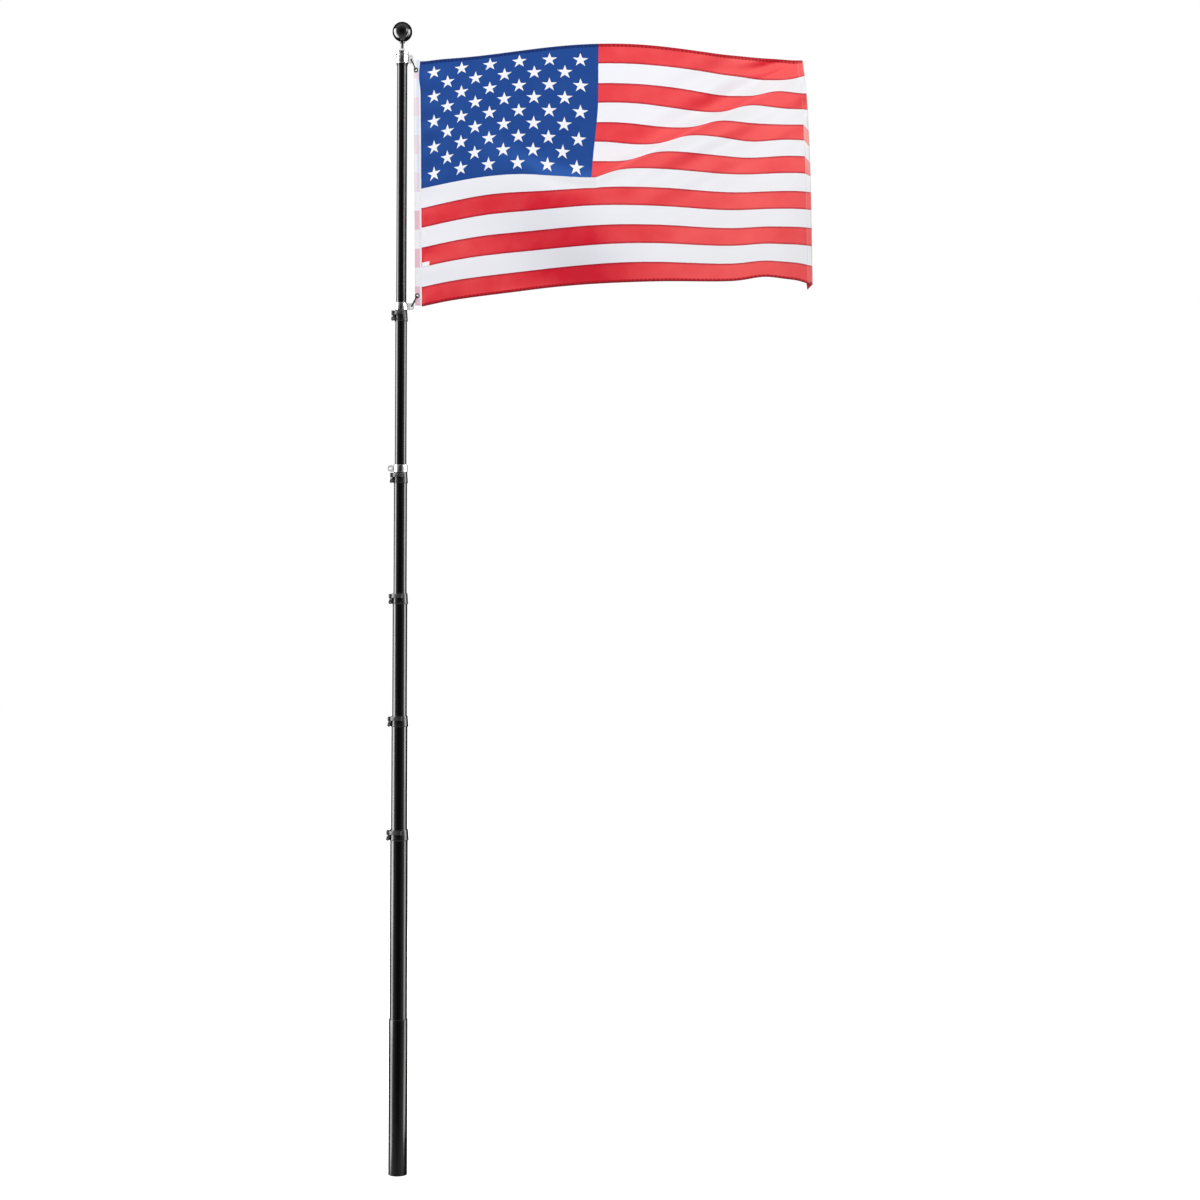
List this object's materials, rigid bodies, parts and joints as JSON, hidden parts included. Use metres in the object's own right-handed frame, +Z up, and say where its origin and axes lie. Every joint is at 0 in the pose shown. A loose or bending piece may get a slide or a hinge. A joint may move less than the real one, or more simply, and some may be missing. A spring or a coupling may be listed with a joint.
{
  "type": "telescoping flagpole",
  "caption": "Telescoping flagpole of nested black tubes with cam-lever clamps, swivel flag rings, a ground sleeve, a ball finial and a flag.",
  "frame": {"origin": "centre of the ground sleeve's flat underside", "axes": "+Z up along the pole, +X the way the flag flies, -Y the front"},
  "size_m": [1.5218, 0.1378, 4.148],
  "materials": {
    "tube_black": "black anodised, satin gloss",
    "sleeve_black": "black, satin",
    "clamp_plastic": "dark grey moulded nylon",
    "stop_plastic": "black, satin",
    "fastener_steel": "plain steel",
    "ring_chrome": "polished",
    "grommet_brass": "polished brass",
    "finial_gloss": "gloss black",
    "header_canvas": "white canvas",
    "flag_cloth": "red, white and blue nylon"
  },
  "bodies": {
    "base": {"ground_sleeve": "sleeve_black", "tube_1": "tube_black", "collar_1": "clamp_plastic", "bolt_1": "fastener_steel", "nut_1": "fastener_steel"},
    "section_2": {"tube_2": "tube_black", "collar_2": "clamp_plastic", "bolt_2": "fastener_steel", "nut_2": "fastener_steel"},
    "section_3": {"tube_3": "tube_black", "collar_3": "clamp_plastic", "bolt_3": "fastener_steel", "nut_3": "fastener_steel"},
    "section_4": {"tube_4": "tube_black", "collar_4": "clamp_plastic", "bolt_4": "fastener_steel", "nut_4": "fastener_steel"},
    "section_5": {"tube_5": "tube_black", "collar_5": "clamp_plastic", "bolt_5": "fastener_steel", "nut_5": "fastener_steel"},
    "top_section": {"tube_6": "tube_black", "ring_stop": "stop_plastic", "top_cap": "ring_chrome", "finial_stem": "finial_gloss", "finial_ball": "finial_gloss"},
    "lever_1": {"lever_1": "clamp_plastic"},
    "lever_2": {"lever_2": "clamp_plastic"},
    "lever_3": {"lever_3": "clamp_plastic"},
    "lever_4": {"lever_4": "clamp_plastic"},
    "lever_5": {"lever_5": "clamp_plastic"},
    "lower_swivel": {"lower_ring": "ring_chrome", "lower_clip": "fastener_steel", "lower_grommet": "grommet_brass", "flag_header": "header_canvas", "flag_field": "flag_cloth"},
    "upper_swivel": {"upper_ring": "ring_chrome", "upper_clip": "fastener_steel", "upper_grommet": "grommet_brass"},
    "spare_swivel": {"spare_ring": "ring_chrome"}
  },
  "joints": [
    {"name": "slide_2", "type": "slide", "parent": "base", "child": "section_2", "axis": [0, 0, 1], "range_m": [-0.364, 0.539]},
    {"name": "slide_3", "type": "slide", "parent": "section_2", "child": "section_3", "axis": [0, 0, 1], "range_m": [-0.396, 0.507]},
    {"name": "slide_4", "type": "slide", "parent": "section_3", "child": "section_4", "axis": [0, 0, 1], "range_m": [-0.39, 0.513]},
    {"name": "slide_5", "type": "slide", "parent": "section_4", "child": "section_5", "axis": [0, 0, 1], "range_m": [-0.512, 0.365]},
    {"name": "slide_6", "type": "slide", "parent": "section_5", "child": "top_section", "axis": [0, 0, 1], "range_m": [-0.7, 0], "deforming": ["flag_header", "flag_field"]},
    {"name": "lever_1_turn", "type": "hinge", "parent": "base", "child": "lever_1", "pos_m": [-0.0389, -0.0138, 1.2205], "axis": [0, 0, -1], "range_deg": [0, 120]},
    {"name": "lever_2_turn", "type": "hinge", "parent": "section_2", "child": "lever_2", "pos_m": [-0.03625, -0.0138, 1.6295], "axis": [0, 0, -1], "range_deg": [0, 120]},
    {"name": "lever_3_turn", "type": "hinge", "parent": "section_3", "child": "lever_3", "pos_m": [-0.0336, -0.0138, 2.0705], "axis": [0, 0, -1], "range_deg": [0, 120]},
    {"name": "lever_4_turn", "type": "hinge", "parent": "section_4", "child": "lever_4", "pos_m": [-0.03095, -0.0138, 2.5055], "axis": [0, 0, -1], "range_deg": [0, 120]},
    {"name": "lever_5_turn", "type": "hinge", "parent": "section_5", "child": "lever_5", "pos_m": [-0.0283, -0.0138, 3.0885], "axis": [0, 0, -1], "range_deg": [0, 120]},
    {"name": "lower_turn", "type": "hinge", "parent": "section_5", "child": "lower_swivel", "pos_m": [0, 0, 0], "axis": [0, 0, 1], "continuous": true},
    {"name": "upper_turn", "type": "hinge", "parent": "top_section", "child": "upper_swivel", "pos_m": [0, 0, 0], "axis": [0, 0, 1], "continuous": true},
    {"name": "spare_turn", "type": "hinge", "parent": "section_4", "child": "spare_swivel", "pos_m": [0, 0, 0], "axis": [0, 0, 1], "continuous": true}
  ],
  "couplings": [
    {"joint": "upper_turn", "follows": "lower_turn", "ratio": 1}
  ]
}
